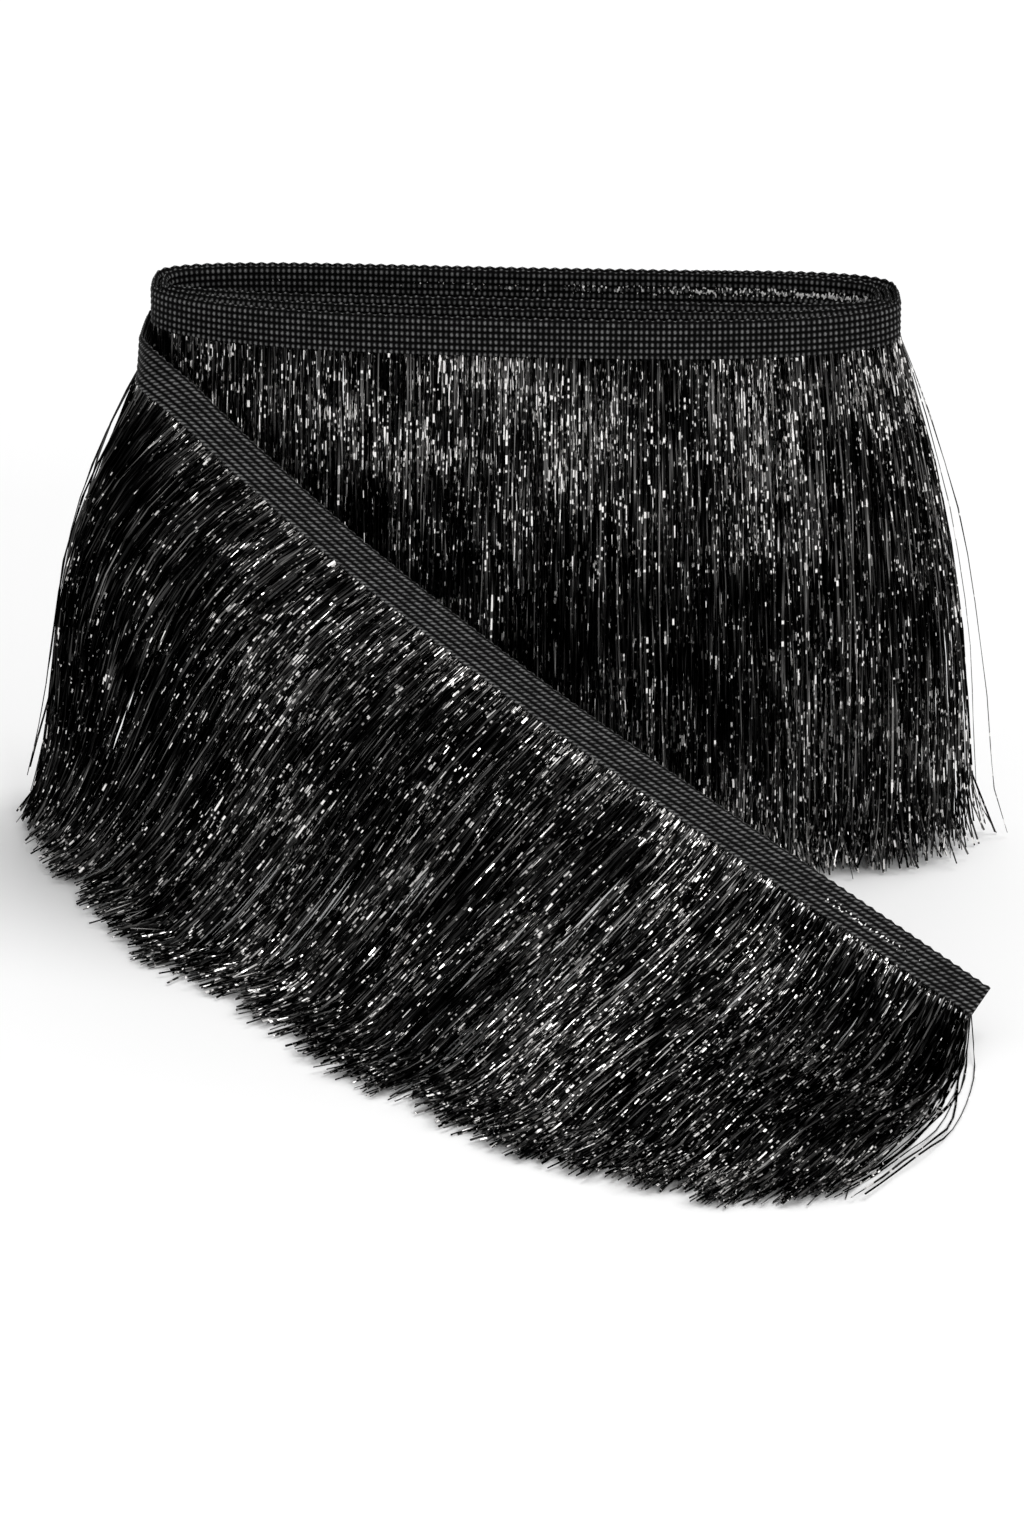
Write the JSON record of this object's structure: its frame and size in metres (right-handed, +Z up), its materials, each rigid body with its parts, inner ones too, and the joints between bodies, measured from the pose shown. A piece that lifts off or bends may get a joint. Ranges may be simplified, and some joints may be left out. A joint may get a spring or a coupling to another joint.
{
  "type": "fringe trim",
  "caption": "Black metallic yarn fringe on a narrow knitted tape, wound into an oval hank that stands on its cut ends, with the loose end laid out in front.",
  "frame": {"origin": "middle of the bounding box's underside, on the surface that the yarn ends stand on", "axes": "+Z up, +X along the hank to the right, and the loose end comes forward towards -Y"},
  "size_m": [0.2538, 0.2844, 0.1502],
  "materials": {
    "heading_tape": "matt black knitted tape",
    "metallic_yarn": "glossy black metallic yarn"
  },
  "bodies": {
    "root": {"heading_hank": "heading_tape", "heading_loose": "heading_tape", "fringe_front_outer": "metallic_yarn", "fringe_back_outer": "metallic_yarn", "fringe_front_inner": "metallic_yarn", "fringe_back_inner": "metallic_yarn", "fringe_loose_1": "metallic_yarn", "fringe_loose_2": "metallic_yarn", "fringe_loose_3": "metallic_yarn", "fringe_loose_4": "metallic_yarn"}
  },
  "joints": []
}
